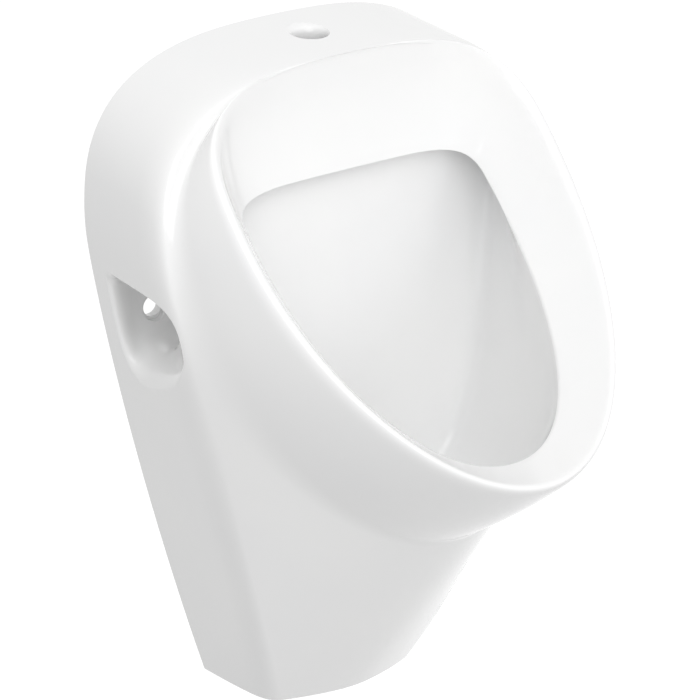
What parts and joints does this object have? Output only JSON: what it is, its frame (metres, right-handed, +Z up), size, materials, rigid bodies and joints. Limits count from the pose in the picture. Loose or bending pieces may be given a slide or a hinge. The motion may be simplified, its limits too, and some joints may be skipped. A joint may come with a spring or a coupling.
{
  "type": "wall hung urinal",
  "caption": "Wall hung ceramic urinal with a hooded bowl, lift-out strainer and a tubular trap hidden behind the skirt.",
  "frame": {"origin": "on the wall plane, midway between the axes of the two wall fixing holes", "axes": "+X to the right across the bowl as seen from the room, +Y into the wall, +Z up; the body stands on the -Y side of the wall"},
  "size_m": [0.3576, 0.324, 0.5146],
  "materials": {
    "glaze": "gloss white vitreous glaze",
    "chrome": "polished chrome plate",
    "white_plastic": "smooth white polypropylene",
    "grey_plastic": "grey polypropylene nut",
    "rubber": "black rubber seal"
  },
  "bodies": {
    "body": {"ceramic_body": "glaze", "spreader": "chrome", "spreader_seal": "rubber", "waste_outlet": "white_plastic", "flange_seal": "rubber", "clamp_washer": "rubber", "clamp_nut": "grey_plastic", "tail_washer": "rubber", "tail_nut": "grey_plastic", "trap_bend": "white_plastic", "cleaning_plug": "grey_plastic", "plug_seal": "rubber", "union_washer": "rubber", "union_nut": "grey_plastic", "trap_arm": "white_plastic"},
    "strainer": {"strainer": "chrome"}
  },
  "joints": [
    {"name": "strainer_lift", "type": "slide", "parent": "body", "child": "strainer", "axis": [0, 0, 1], "range_m": [0, 0.06]}
  ]
}
